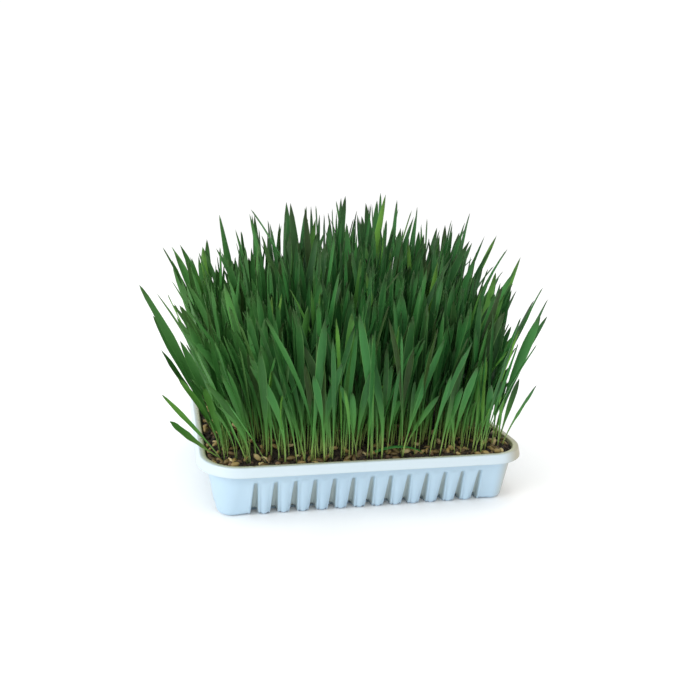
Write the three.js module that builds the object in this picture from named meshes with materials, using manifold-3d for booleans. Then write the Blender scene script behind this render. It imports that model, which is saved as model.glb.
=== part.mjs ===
// Wheatgrass growing in a ribbed plastic tray.
// Millimetres. +Z is up, +X runs along the tray's long side, and -Y is the long side seen in front.
// The origin is the middle of the tray's flat bottom.

import * as THREE from "three";
import { mergeVertices } from "three/addons/utils/BufferGeometryUtils.js";
import Module from "manifold-3d";

const wasm = await Module();
wasm.setup();

// Tray: one thin formed sheet with a ribbed tapering wall, a flat lip and a skirt turned down round it
const TRAY_LENGTH = 235;
const TRAY_DEPTH = 177;
const TRAY_HEIGHT = 39.7;
const SHEET = 1.0;
const CORNER_RADIUS = 29;
const CORNER_STEPS = 6;
const SKIRT_HEIGHT = 6.4;
const SKIRT_FLARE = 1.7;
const LIP_INNER_INSET = 6.2;
const BOTTOM_INSET = 13.3;
const BOTTOM_RADIUS = 10;
const BOTTOM_BEVEL = 2.8;
const INNER_BEVEL = 1.2;
const FLUTE_PITCH = 13.36;
const FLUTE_TOP = 26;
const FLUTE_DEPTH = 6.0;
const FLUTE_MOUTH = { top: 1.5, bottom: 2.9 };
const FLUTE_BED = { top: 0.7, bottom: 1.7 };
const FLUTE_MARGIN = { top: 2.4, bottom: 3.8 };
const FLUTES_LONG = 13;
const FLUTES_SHORT = 11;

// Soil: fills the tray, with a small gap to the sheet
const GAP = 0.3;
const SOIL_TOP = 37.4;
const SOIL_EDGE_DROP = 1.6;
const SOIL_BUMP = 0.9;
const RELIEF_COLUMNS = 9;
const RELIEF_ROWS = 7;

// Tufts: seedlings whose grains and roots mat together, one tuft in each cell of a plan grid
const TUFT_COLUMNS = 8;
const TUFT_ROWS = 5;
const CELL_WIDTH = 26.4;
const CELL_DEPTH = 29.4;
const MAT_HALF_WIDTH = 11.2;
const MAT_HALF_DEPTH = 12.6;
const MAT_CORNER = 2;
const MAT_THICKNESS = 7.5;
const MAT_TOP = SOIL_TOP + 0.5;
const SEEDLINGS = 10;
const ROOT_LANES = 5;
const ROOT_PITCH = [11, 4.9];
const ROOT_SCATTER = [3.2, 1.2];

// Leaves: a narrow pale foot, a widening blade with a keel, an acute tip
const LEAF_STATIONS = [0, 0.24, 0.52, 0.78];
const LEAF_WIDTHS = [0.26, 0.34, 0.96, 0.84];
const LEAF_WIDTH = [5.0, 8.2];
const LEAF_THICKNESS = 1.25;
const LEAF_BOW = [1.2, 2.2];
const WANDER = 24;
const TWIST = 1.3;
const HEIGHT_BY_ROW = [[60, 118], [86, 134], [98, 148], [108, 161], [117, 176]];
const LOWER_AT_LEFT = 0.34;
const LOWER_AT_RIGHT = 0.1;

// Outward lean of the stand, as the shift of its edges at LEAN_HEIGHT above the soil.
// To the left and right it changes from the front row's value to the back row's.
const LEAN_HEIGHT = 150;
const LEAN_HALF = [104, 72];
const LEAN_POWER = 1.5;
const LEAN = { left: [44, 12], right: [17, 12], front: 10, back: 12 };
const OUTER_EXTRA = { left: [16, 6], right: [14, 12], front: 14, back: 12 };

// A seedling keeps this far from those before it, tested every TEST_STEP of height, or is drawn again
const CLEARANCE = 1.9;
const TEST_STEP = 9;
const MOST_TRIES = 60;
const DRAWS = 16;
const LATE_HEIGHT = [16, 34];

// Grains: husked wheat, longer than wide
const GRAIN_LENGTH = 9;
const GRAIN_RADIUS = 1.9;
const GRAIN_SIDES = 4;
const EDGE_GRAINS = 12;
const EDGE_RUN = 180;
const EDGE_LINE = -79;

// Seedlings that leave the stand, at chosen places on the mats of tufts at its two ends and its front.
// Roots are from the mat's middle, and shift is how far the tip lies from the root.
const LEFT_TUFTS = [0, 8];
const RIGHT_TUFTS = [7, 15];
const FRONT_TUFTS = [1, 2, 5, 6];
const STRAYS = [
  { tuft: LEFT_TUFTS[0], root: [-9.2, -9.4], shift: [-38, -9], height: 50, width: 3.4, facing: 0.4, bow: 1.1 },
  { tuft: LEFT_TUFTS[0], root: [-9.4, -5.4], shift: [-33, -4], height: 29, width: 6, facing: 0.7, bow: 0.9 },
  { tuft: LEFT_TUFTS[0], root: [-9.2, 2.4], shift: [-51, 10], height: 113, width: 6.6, facing: 0.5, bow: 1.3 },
  { tuft: LEFT_TUFTS[1], root: [-9.2, -9.5], shift: [-43, -2], height: 92, width: 6.8, facing: 0.3, bow: 1.2 },
  { tuft: LEFT_TUFTS[1], root: [-9.2, -3.5], shift: [-38, -4], height: 68, width: 5.8, facing: 0.8, bow: 1.1 },
  { tuft: RIGHT_TUFTS[0], root: [9.2, -9.2], shift: [20, -4], height: 48, width: 4.6, facing: 0.2, bow: 1.3 },
  { tuft: RIGHT_TUFTS[0], root: [9.2, -3.4], shift: [8, -5], height: 52, width: 4.2, facing: -0.5, bow: 1.2 },
  { tuft: RIGHT_TUFTS[0], root: [5.2, -10.4], shift: [-4, -3], height: 64, width: 5.4, facing: 0.1, bow: 1.5 },
  { tuft: RIGHT_TUFTS[0], root: [9, 3.6], shift: [29, -3], height: 109, width: 4.8, facing: 0.2, bow: 1.6 },
  { tuft: RIGHT_TUFTS[1], root: [9.2, -8], shift: [26, -6], height: 105, width: 6, facing: 0.3, bow: 1.6 },
  { tuft: FRONT_TUFTS[0], root: [-6, -10.4], shift: [-12, -38], height: 86, width: 6, facing: 0.3, bow: 1.4 },
  { tuft: FRONT_TUFTS[1], root: [4, -10.4], shift: [3, -34], height: 76, width: 5.4, facing: -0.2, bow: 1.5 },
  { tuft: FRONT_TUFTS[2], root: [5, -10.4], shift: [6, -39], height: 90, width: 5.8, facing: 0.2, bow: 1.4 },
  { tuft: FRONT_TUFTS[3], root: [-4, -10.4], shift: [-3, -33], height: 72, width: 5.2, facing: -0.3, bow: 1.5 },
];
const STRAY_TWIST = 0.3;

// The leaf fallen along the front rim: where it leaves its mat, its highest point, and its tip
const FALLEN_TUFT = 3;
const FALLEN_FROM = [-4, -69.4, -1.2];
const FALLEN_PEAK = [18, -74.6, 7.2];
const FALLEN_TIP = [38, -76.6, 1.6];
const FALLEN_WIDTH = 3.8;

const COLOURS = { tray: 0xdfe9f0, soil: 0x39301f, grass: 0x3f7a34 };

// Pseudo-random number from 0 to 1, the same each run, for one draw of one numbered thing
function chance(number, draw) {
  const wave = Math.sin(number * 12.9898 + draw * 78.233) * 43758.5453;
  return wave - Math.floor(wave);
}

function between(low, high, fraction) {
  return low + (high - low) * fraction;
}

// A closed surface built from chains of points that are zipped together side by side
class Surface {
  constructor() {
    this.points = [];
    this.faces = [];
  }

  addPoint([x, y, z]) {
    this.points.push(x, y, z);
    return this.points.length / 3 - 1;
  }

  addChain(chain) {
    return chain.map((point) => this.addPoint(point));
  }

  // Triangles between two open chains, stepping along whichever chain is behind
  zip(lower, upper) {
    let i = 0;
    let j = 0;
    while (i < lower.length - 1 || j < upper.length - 1) {
      const lowerNext = (i + 0.5) / (lower.length - 1);
      const upperNext = (j + 0.5) / (upper.length - 1);
      if (i < lower.length - 1 && (lowerNext <= upperNext || j === upper.length - 1)) {
        this.faces.push(lower[i], lower[i + 1], upper[j]);
        i += 1;
      } else {
        this.faces.push(lower[i], upper[j + 1], upper[j]);
        j += 1;
      }
    }
  }

  zipRings(lower, upper) {
    this.zip([...lower, lower[0]], [...upper, upper[0]]);
  }

  // A flat cap over a ring of any outline, facing up or down, open where the hole rings are
  cap(ring, facesUp, holes = []) {
    const planOf = (index) => new THREE.Vector2(this.points[3 * index], this.points[3 * index + 1]);
    const all = [...ring, ...holes.flat()];
    const openings = holes.map((hole) => hole.map(planOf));
    const triangles = THREE.ShapeUtils.triangulateShape(ring.map(planOf), openings);
    for (const [a, b, c] of triangles) {
      const [p, q, r] = [a, b, c].map((i) => planOf(all[i]));
      const isUp = (q.x - p.x) * (r.y - p.y) - (q.y - p.y) * (r.x - p.x) > 0;
      this.faces.push(all[a], all[isUp === facesUp ? b : c], all[isUp === facesUp ? c : b]);
    }
  }

  // Triangles from a ring to one point
  close(ring, apex, facesUp) {
    ring.forEach((index, i) => {
      const next = ring[(i + 1) % ring.length];
      this.faces.push(facesUp ? index : next, facesUp ? next : index, apex);
    });
  }

  geometry() {
    const geometry = new THREE.BufferGeometry();
    geometry.setAttribute("position", new THREE.Float32BufferAttribute(this.points, 3));
    geometry.setIndex(this.faces);
    geometry.computeVertexNormals();
    return geometry;
  }

  solid() {
    return new wasm.Manifold(new wasm.Mesh({
      numProp: 3,
      vertProperties: Float32Array.from(this.points),
      triVerts: Uint32Array.from(this.faces),
    }));
  }
}

function geometryOf(solid) {
  const mesh = solid.getMesh();
  const geometry = new THREE.BufferGeometry();
  geometry.setAttribute("position", new THREE.BufferAttribute(mesh.vertProperties, mesh.numProp));
  geometry.setIndex(new THREE.BufferAttribute(mesh.triVerts, 1));
  const merged = mergeVertices(geometry, 1e-4);
  merged.computeVertexNormals();
  return merged;
}

// The largest connected body of a fused solid, with any sealed hollow filled
function mainBody(solid) {
  const bodies = solid.decompose();
  bodies.sort((a, b) => b.volume() - a.volume());
  return bodies[0];
}

// The tray's four sides in turn, seen from above against the clock from the front
const SIDES = [
  { flutes: FLUTES_LONG, half: TRAY_LENGTH / 2, place: (along, inset) => [along, inset - TRAY_DEPTH / 2] },
  { flutes: FLUTES_SHORT, half: TRAY_DEPTH / 2, place: (along, inset) => [TRAY_LENGTH / 2 - inset, along] },
  { flutes: FLUTES_LONG, half: TRAY_LENGTH / 2, place: (along, inset) => [-along, TRAY_DEPTH / 2 - inset] },
  { flutes: FLUTES_SHORT, half: TRAY_DEPTH / 2, place: (along, inset) => [inset - TRAY_LENGTH / 2, -along] },
];

// Points round the corner that follows a side, on a quarter circle
function cornerPoints(side, inset, radius, z) {
  const middleX = TRAY_LENGTH / 2 - inset - radius;
  const middleY = TRAY_DEPTH / 2 - inset - radius;
  const signX = side === 0 || side === 1 ? 1 : -1;
  const signY = side === 1 || side === 2 ? 1 : -1;
  return Array.from({ length: CORNER_STEPS + 1 }, (_, step) => {
    const angle = (side - 1 + step / CORNER_STEPS) * (Math.PI / 2);
    return [signX * middleX + radius * Math.cos(angle), signY * middleY + radius * Math.sin(angle), z];
  });
}

// One level of the wall: a rounded rectangle, with four points for each flute, kept off the corners
function wallLevel(surface, { z, inset, radius, flute = null }) {
  return SIDES.map(({ flutes, half, place }, side) => {
    const run = [];
    if (flute) {
      const { mouth, bed, depth, margin } = flute;
      const widest = 2 * (half - inset - radius - margin) / (flutes - 1);
      const pitch = Math.min(FLUTE_PITCH, widest);
      for (let i = 0; i < flutes; i += 1) {
        const middle = (i - (flutes - 1) / 2) * pitch;
        for (const [along, inward] of [[-mouth, 0], [-bed, depth], [bed, depth], [mouth, 0]]) {
          run.push([...place(middle + along, inset + inward), z]);
        }
      }
    }
    return { run: surface.addChain(run), corner: surface.addChain(cornerPoints(side, inset, radius, z)) };
  });
}

function ringOf(level) {
  return level.flatMap(({ run, corner }) => [...run, ...corner]);
}

// The band between two levels, side by side and corner by corner
function joinLevels(surface, lower, upper) {
  lower.forEach((part, side) => {
    const before = (side + 3) % 4;
    const chain = (level) => [level[before].corner.at(-1), ...level[side].run, level[side].corner[0]];
    surface.zip(chain(lower), chain(upper));
    surface.zip(part.corner, upper[side].corner);
  });
}

// Inset and corner radius of the wall's outer face at a height
function wallAt(z) {
  const top = { z: TRAY_HEIGHT - SHEET, inset: LIP_INNER_INSET - SHEET };
  const fraction = z / top.z;
  return {
    z,
    inset: between(BOTTOM_INSET, top.inset, fraction),
    radius: between(BOTTOM_RADIUS, CORNER_RADIUS - top.inset, fraction),
  };
}

function insideOf(level, distance) {
  return { ...level, inset: level.inset + distance, radius: Math.max(1, level.radius - distance) };
}

function makeTray() {
  const surface = new Surface();
  const fluteAt = (end, depth) =>
    ({ mouth: FLUTE_MOUTH[end], bed: FLUTE_BED[end], margin: FLUTE_MARGIN[end], depth });
  const wide = fluteAt("bottom", FLUTE_DEPTH);
  const shut = fluteAt("top", 0);
  const wideInside = { ...wide, mouth: wide.mouth + 0.7 * SHEET, bed: wide.bed + 0.7 * SHEET };
  const shutInside = { ...shut, mouth: shut.mouth + 0.7 * SHEET, bed: shut.bed + 0.7 * SHEET };
  const lipUnder = TRAY_HEIGHT - SHEET;
  const skirtFoot = TRAY_HEIGHT - SKIRT_HEIGHT;
  const rim = (inset, z) => ({ z, inset, radius: CORNER_RADIUS - inset });
  const profile = [
    { ...insideOf(wallAt(0), BOTTOM_BEVEL), flute: wide },
    { ...wallAt(BOTTOM_BEVEL), flute: wide },
    { ...wallAt(FLUTE_TOP), flute: shut },
    wallAt(lipUnder),
    rim(SKIRT_FLARE + SHEET, lipUnder),
    rim(SHEET, skirtFoot),
    rim(0, skirtFoot),
    rim(SKIRT_FLARE, TRAY_HEIGHT),
    rim(LIP_INNER_INSET, TRAY_HEIGHT),
    { ...insideOf(wallAt(FLUTE_TOP), SHEET), flute: shutInside },
    { ...insideOf(wallAt(SHEET), SHEET + INNER_BEVEL), flute: wideInside },
  ];
  const levels = profile.map((level) => wallLevel(surface, level));
  for (let i = 1; i < levels.length; i += 1) {
    joinLevels(surface, levels[i - 1], levels[i]);
  }
  surface.cap(ringOf(levels[0]), false);
  surface.cap(ringOf(levels.at(-1)), true);
  return surface.geometry();
}

// Height of the soil's top: crumbly bumps, lower near the wall
function soilHeight(x, y) {
  const bumps = Math.sin(x * 0.31 + 1.3) * Math.cos(y * 0.27 - 0.4) + 0.6 * Math.sin(x * 0.13 - y * 0.19);
  const edge = Math.max(Math.abs(x) / (TRAY_LENGTH / 2), Math.abs(y) / (TRAY_DEPTH / 2));
  return SOIL_TOP + SOIL_BUMP * bumps * 0.6 - SOIL_EDGE_DROP * Math.max(0, edge - 0.8) * 5;
}

// A block that holds everything under the soil's bumpy top
function soilRelief() {
  const surface = new Surface();
  const rows = [];
  const under = [];
  for (let row = 0; row <= RELIEF_ROWS; row += 1) {
    const y = (row / RELIEF_ROWS - 0.5) * TRAY_DEPTH;
    const xs = Array.from({ length: RELIEF_COLUMNS + 1 }, (_, i) => (i / RELIEF_COLUMNS - 0.5) * TRAY_LENGTH);
    rows.push(surface.addChain(xs.map((x) => [x, y, soilHeight(x, y)])));
    under.push(surface.addChain(xs.map((x) => [x, y, 0])));
  }
  for (let row = 0; row < RELIEF_ROWS; row += 1) {
    surface.zip(rows[row], rows[row + 1]);
    surface.zip(under[row + 1], under[row]);
    surface.zip([rows[row + 1][0], rows[row][0]].reverse(), [under[row + 1][0], under[row][0]].reverse());
    surface.zip([under[row].at(-1), under[row + 1].at(-1)], [rows[row].at(-1), rows[row + 1].at(-1)]);
  }
  surface.zip(under[0], rows[0]);
  surface.zip(rows.at(-1), under.at(-1));
  return surface.solid();
}

// The tray's inside, with the gap taken off
function soilFill() {
  const surface = new Surface();
  const bottom = insideOf(wallAt(SHEET + GAP), SHEET + INNER_BEVEL + FLUTE_DEPTH + GAP);
  const middle = insideOf(wallAt(FLUTE_TOP), SHEET + GAP);
  const levels = [
    bottom,
    middle,
    insideOf(wallAt(TRAY_HEIGHT + 1), SHEET + 2 * GAP),
  ].map((level) => wallLevel(surface, level));
  joinLevels(surface, levels[0], levels[1]);
  joinLevels(surface, levels[1], levels[2]);
  surface.cap(ringOf(levels[0]), false);
  surface.cap(ringOf(levels[2]), true);
  return surface.solid();
}

// A grain: a pointed spindle lying at an angle, half sunk in what it grows from
function makeGrain(x, y, z, turn, tilt, size) {
  const surface = new Surface();
  const along = new THREE.Vector3(Math.cos(turn), Math.sin(turn), Math.tan(tilt)).normalize();
  const across = new THREE.Vector3(-Math.sin(turn), Math.cos(turn), 0);
  const above = new THREE.Vector3().crossVectors(along, across);
  const point = (forward, radius, angle) => {
    const place = new THREE.Vector3(x, y, z);
    place.addScaledVector(along, forward * size);
    place.addScaledVector(across, radius * Math.cos(angle) * size);
    place.addScaledVector(above, radius * Math.sin(angle) * size);
    return place.toArray();
  };
  const ring = (forward, radius) => surface.addChain(Array.from({ length: GRAIN_SIDES }, (_, i) =>
    point(forward, radius, (i / GRAIN_SIDES) * 2 * Math.PI)));
  const back = ring(-GRAIN_LENGTH * 0.22, GRAIN_RADIUS);
  const front = ring(GRAIN_LENGTH * 0.24, GRAIN_RADIUS * 0.9);
  surface.zipRings(back, front);
  surface.close(back, surface.addPoint(point(-GRAIN_LENGTH * 0.5, 0, 0)), false);
  surface.close(front, surface.addPoint(point(GRAIN_LENGTH * 0.5, 0, 0)), true);
  return surface.solid();
}

// Where a place is from the stand's front edge, 0, to its back edge, 1
function depthShare(y) {
  return Math.min(1, Math.max(0, 0.5 + y / (2 * LEAN_HALF[1])));
}

// How far the stand's outward lean carries a point of the plan at LEAN_HEIGHT
function leanOut(x, y) {
  const carry = (place, half, low, high) =>
    Math.sign(place) * Math.abs(place / half) ** LEAN_POWER * (place < 0 ? low : high);
  const depth = depthShare(y);
  return [
    carry(x, LEAN_HALF[0], between(...LEAN.left, depth), between(...LEAN.right, depth)),
    carry(y, LEAN_HALF[1], LEAN.front, LEAN.back),
  ];
}

// One try at a seedling: where it stands, where its tip goes, its height, width and turn
function drawSeedling(tuft, number, attempt) {
  const id = tuft.number * SEEDLINGS + number;
  const draw = (which) => chance(id, which + DRAWS * attempt);
  const lane = [(number % 2) - 0.5, Math.floor(number / 2) - (ROOT_LANES - 1) / 2];
  const root = [
    tuft.x + lane[0] * ROOT_PITCH[0] + ROOT_SCATTER[0] * (2 * draw(1) - 1),
    tuft.y + lane[1] * ROOT_PITCH[1] + ROOT_SCATTER[1] * (2 * draw(2) - 1),
  ];
  const edge = (tuft.x / LEAN_HALF[0]) ** 2 * (tuft.x < 0 ? LOWER_AT_LEFT : LOWER_AT_RIGHT);
  const late = attempt >= MOST_TRIES;
  const heights = late ? LATE_HEIGHT : HEIGHT_BY_ROW[tuft.row];
  const height = between(...heights, draw(3)) * (late ? 1 : 1 - edge);
  const share = height / LEAN_HEIGHT;
  const lean = leanOut(...root);
  const extra = draw(4) ** 2;
  const depth = depthShare(root[1]);
  if (tuft.column === 0) lean[0] -= between(...OUTER_EXTRA.left, depth) * extra;
  if (tuft.column === TUFT_COLUMNS - 1) lean[0] += between(...OUTER_EXTRA.right, depth) * extra;
  if (tuft.row === 0) lean[1] -= OUTER_EXTRA.front * extra;
  if (tuft.row === TUFT_ROWS - 1) lean[1] += OUTER_EXTRA.back * extra;
  const wander = [WANDER * (draw(5) + draw(6) - 1), WANDER * (draw(7) + draw(8) - 1)];
  return {
    root,
    height,
    shift: [share * (lean[0] + wander[0]), share * (lean[1] + wander[1])],
    width: between(...LEAF_WIDTH, draw(9)) * Math.min(1, 0.3 + height / 130),
    facing: Math.PI * (draw(10) - 0.5) + (draw(11) < 0.4 ? Math.PI : 0),
    twist: TWIST * (draw(12) - 0.5),
    bow: between(...LEAF_BOW, draw(13)),
  };
}

// Middle, turn and half width of a seedling's section at a share of its height
function sectionAt({ root, shift, width, facing, twist, bow }, share) {
  const bowed = share ** bow;
  let i = LEAF_STATIONS.length - 1;
  while (LEAF_STATIONS[i] > share) i -= 1;
  const nextStation = LEAF_STATIONS[i + 1] ?? 1;
  const nextWidth = LEAF_WIDTHS[i + 1] ?? 0;
  const within = (share - LEAF_STATIONS[i]) / (nextStation - LEAF_STATIONS[i]);
  return {
    x: root[0] + shift[0] * bowed,
    y: root[1] + shift[1] * bowed,
    turn: facing + twist * share,
    half: (width * between(LEAF_WIDTHS[i], nextWidth, within)) / 2,
  };
}

// Sections at every TEST_STEP of height, up to the tip
function sectionsOf(seedling) {
  const count = Math.floor(seedling.height / TEST_STEP);
  return Array.from({ length: count + 1 }, (_, i) => sectionAt(seedling, (i * TEST_STEP) / seedling.height));
}

// Distance between two sections seen as straight lines in one plane, or zero where they cross
function sectionGap(a, b) {
  const endsOf = ({ x, y, turn, half }) => [-1, 1].map((side) =>
    [x + side * half * Math.cos(turn), y + side * half * Math.sin(turn)]);
  const [a0, a1] = endsOf(a);
  const [b0, b1] = endsOf(b);
  const side = (p, q, r) => (q[0] - p[0]) * (r[1] - p[1]) - (q[1] - p[1]) * (r[0] - p[0]);
  if (side(a0, a1, b0) * side(a0, a1, b1) < 0 && side(b0, b1, a0) * side(b0, b1, a1) < 0) {
    return 0;
  }
  const toLine = (p, q, r) => {
    const run = [r[0] - q[0], r[1] - q[1]];
    const square = run[0] ** 2 + run[1] ** 2 + 1e-9;
    const along = ((p[0] - q[0]) * run[0] + (p[1] - q[1]) * run[1]) / square;
    const held = Math.min(1, Math.max(0, along));
    return Math.hypot(p[0] - q[0] - held * run[0], p[1] - q[1] - held * run[1]);
  };
  return Math.min(toLine(a0, b0, b1), toLine(a1, b0, b1), toLine(b0, a0, a1), toLine(b1, a0, a1));
}

function isClear(sections, kept) {
  return kept.every((others) => {
    const shared = Math.min(sections.length, others.length);
    for (let i = 0; i < shared; i += 1) {
      const reach = sections[i].half + others[i].half + CLEARANCE;
      const near = Math.hypot(sections[i].x - others[i].x, sections[i].y - others[i].y) < reach;
      if (near && sectionGap(sections[i], others[i]) < CLEARANCE) return false;
    }
    return true;
  });
}

// Every tuft's seedlings, each drawn again until it is clear of those before it
function growStand(tufts) {
  const kept = [];
  for (const tuft of tufts) {
    tuft.seedlings = STRAYS.filter((stray) => stray.tuft === tuft.number).map((stray) => ({
      ...stray,
      root: [tuft.x + stray.root[0], tuft.y + stray.root[1]],
      twist: STRAY_TWIST,
    }));
    kept.push(...tuft.seedlings.map(sectionsOf));
  }
  for (const tuft of tufts) {
    for (let number = 0; number < SEEDLINGS; number += 1) {
      let attempt = 0;
      let found = drawSeedling(tuft, number, attempt);
      while (!isClear(sectionsOf(found), kept) && attempt < MOST_TRIES + 20) {
        attempt += 1;
        found = drawSeedling(tuft, number, attempt);
      }
      if (isClear(sectionsOf(found), kept)) {
        kept.push(sectionsOf(found));
        tuft.seedlings.push(found);
      }
    }
  }
}

// The three corners of a leaf's section: its two edges, and the keel behind its middle
function leafCorners(middle, tangent, turn, half) {
  const across = new THREE.Vector3(Math.cos(turn), Math.sin(turn), 0);
  across.addScaledVector(tangent, -across.dot(tangent)).normalize();
  const back = new THREE.Vector3().crossVectors(tangent, across);
  return [
    middle.clone().addScaledVector(across, -half).toArray(),
    middle.clone().addScaledVector(across, half).toArray(),
    middle.clone().addScaledVector(back, LEAF_THICKNESS).toArray(),
  ];
}

// A leaf that stands on a surface's flat top, and the ring of its foot there
function raiseLeaf(surface, sections, heights, tip) {
  const middles = sections.map(({ x, y }, i) => new THREE.Vector3(x, y, heights[i]));
  const rings = sections.map(({ turn, half }, i) => {
    const tangent = i === 0
      ? new THREE.Vector3(0, 0, 1)
      : (middles[i + 1] ?? tip).clone().sub(middles[i - 1]).normalize();
    return surface.addChain(leafCorners(middles[i], tangent, turn, half));
  });
  rings.slice(1).forEach((ring, i) => surface.zipRings(rings[i], ring));
  surface.close(rings.at(-1), surface.addPoint(tip.toArray()), true);
  return rings[0];
}

function raiseSeedling(surface, seedling) {
  const sections = LEAF_STATIONS.map((share) => sectionAt(seedling, share));
  const heights = LEAF_STATIONS.map((share) => MAT_TOP + share * seedling.height);
  const { x, y } = sectionAt(seedling, 1);
  return raiseLeaf(surface, sections, heights, new THREE.Vector3(x, y, MAT_TOP + seedling.height));
}

// The leaf that has fallen along the front rim: up from its mat's edge, over, and down again
function fallenLeaf() {
  const place = ([x, y, above]) => new THREE.Vector3(x, y, SOIL_TOP + above);
  const curve = new THREE.QuadraticBezierCurve3();
  const [from, peak, tip] = [FALLEN_FROM, FALLEN_PEAK, FALLEN_TIP].map(place);
  curve.v0.copy(from);
  curve.v1.copy(peak).multiplyScalar(2).addScaledVector(from, -0.5).addScaledVector(tip, -0.5);
  curve.v2.copy(tip);
  const surface = new Surface();
  const middles = LEAF_STATIONS.map((share) => curve.getPoint(share));
  const rings = middles.map((middle, i) => {
    const half = (FALLEN_WIDTH * Math.max(0.6, LEAF_WIDTHS[i])) / 2;
    return surface.addChain(leafCorners(middle, curve.getTangent(LEAF_STATIONS[i]), Math.PI / 2, half));
  });
  rings.slice(1).forEach((ring, i) => surface.zipRings(rings[i], ring));
  surface.faces.push(rings[0][0], rings[0][2], rings[0][1]);
  surface.close(rings.at(-1), surface.addPoint(tip.toArray()), true);
  return surface.solid();
}

// Outline of a tuft's mat in plan: a rectangle with cut corners
function matOutline(tuft, grown) {
  const halfX = MAT_HALF_WIDTH + grown;
  const halfY = MAT_HALF_DEPTH + grown;
  const cut = MAT_CORNER + grown * 0.6;
  const outline = [
    [-halfX + cut, -halfY], [halfX - cut, -halfY], [halfX, -halfY + cut], [halfX, halfY - cut],
    [halfX - cut, halfY], [-halfX + cut, halfY], [-halfX, halfY - cut], [-halfX, -halfY + cut],
  ];
  return outline.map(([x, y]) => [tuft.x + x, tuft.y + y]);
}

// A mat of roots and grains with its seedlings standing on it, as one body
function makeTuft(tuft) {
  const surface = new Surface();
  const ring = (z) => surface.addChain(matOutline(tuft, 0).map(([x, y]) => [x, y, z]));
  const foot = ring(SOIL_TOP - MAT_THICKNESS);
  const head = ring(MAT_TOP);
  surface.zipRings(foot, head);
  surface.cap(foot, false);
  surface.cap(head, true, tuft.seedlings.map((seedling) => raiseSeedling(surface, seedling)));
  let body = surface.solid();
  const isSeen = tuft.row === 0 || tuft.column === 0 || tuft.column === TUFT_COLUMNS - 1;
  if (isSeen) {
    const id = 1000 + tuft.number;
    const [x, y] = [tuft.x + 5 * (2 * chance(id, 1) - 1), tuft.y + 6 * (2 * chance(id, 2) - 1)];
    body = body.add(makeGrain(x, y, MAT_TOP + 0.4, Math.PI * chance(id, 3), 0.3 * chance(id, 4), 1));
  }
  if (tuft.number === FALLEN_TUFT) body = body.add(fallenLeaf());
  return geometryOf(mainBody(body));
}

// A plain hole in the soil for a tuft's mat
function makeHole(tuft) {
  const surface = new Surface();
  const ring = (z) => surface.addChain(matOutline(tuft, GAP).map(([x, y]) => [x, y, z]));
  const foot = ring(SOIL_TOP - MAT_THICKNESS - GAP);
  const head = ring(TRAY_HEIGHT + 8);
  surface.zipRings(foot, head);
  surface.cap(foot, false);
  surface.cap(head, true);
  return surface.solid();
}

function makeSoil(tufts) {
  const holes = tufts.map(makeHole);
  const grains = [];
  for (let i = 0; i < EDGE_GRAINS; i += 1) {
    const x = (i / (EDGE_GRAINS - 1) - 0.5) * EDGE_RUN + 3 * (chance(i, 21) - 0.5);
    const y = EDGE_LINE - 0.8 * chance(i, 22);
    grains.push(makeGrain(x, y, soilHeight(x, y) + 0.6, 0.5 * (chance(i, 23) - 0.5), 0.1, 0.8));
  }
  const ground = soilFill().intersect(soilRelief()).subtract(wasm.Manifold.union(holes));
  return geometryOf(mainBody(wasm.Manifold.union([ground, ...grains]).simplify(0.01)));
}

function tuftPlan() {
  const tufts = [];
  for (let row = 0; row < TUFT_ROWS; row += 1) {
    for (let column = 0; column < TUFT_COLUMNS; column += 1) {
      tufts.push({
        row,
        column,
        number: row * TUFT_COLUMNS + column,
        x: (column - (TUFT_COLUMNS - 1) / 2) * CELL_WIDTH,
        y: (row - (TUFT_ROWS - 1) / 2) * CELL_DEPTH,
      });
    }
  }
  return tufts;
}

function named(name, geometry, color, roughness) {
  const mesh = new THREE.Mesh(geometry, new THREE.MeshStandardMaterial({ color, roughness, metalness: 0 }));
  mesh.name = name;
  return mesh;
}

const tufts = tuftPlan();
growStand(tufts);
const wheatgrassTray = new THREE.Group();
wheatgrassTray.add(named("tray", makeTray(), COLOURS.tray, 0.35));
wheatgrassTray.add(named("soil", makeSoil(tufts), COLOURS.soil, 0.95));
for (const tuft of tufts) {
  const name = `wheatgrass_tuft_${String(tuft.number + 1).padStart(2, "0")}`;
  wheatgrassTray.add(named(name, makeTuft(tuft), COLOURS.grass, 0.5));
}

export default wheatgrassTray;
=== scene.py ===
"""Wheatgrass growing in a ribbed plastic tray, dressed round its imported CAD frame.

Lengths are in millimetres in the frame's own axes, and become metres when a mesh is made.
"""

import bpy
import numpy as np
from mathutils import Matrix, Vector


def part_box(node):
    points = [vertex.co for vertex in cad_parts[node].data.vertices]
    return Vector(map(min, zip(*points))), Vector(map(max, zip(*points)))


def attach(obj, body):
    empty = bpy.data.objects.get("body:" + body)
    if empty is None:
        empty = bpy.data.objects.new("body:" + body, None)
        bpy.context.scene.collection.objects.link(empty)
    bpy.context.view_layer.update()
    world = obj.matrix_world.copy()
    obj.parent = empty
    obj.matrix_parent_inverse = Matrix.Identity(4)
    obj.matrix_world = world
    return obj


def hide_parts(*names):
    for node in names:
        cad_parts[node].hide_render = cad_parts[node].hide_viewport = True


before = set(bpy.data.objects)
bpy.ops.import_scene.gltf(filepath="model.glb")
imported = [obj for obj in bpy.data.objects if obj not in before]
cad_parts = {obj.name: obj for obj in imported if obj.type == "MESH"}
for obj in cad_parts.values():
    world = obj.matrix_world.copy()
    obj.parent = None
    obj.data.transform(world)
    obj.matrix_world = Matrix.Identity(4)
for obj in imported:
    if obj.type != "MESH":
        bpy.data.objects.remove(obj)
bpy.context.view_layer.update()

METRES = 0.001

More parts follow.
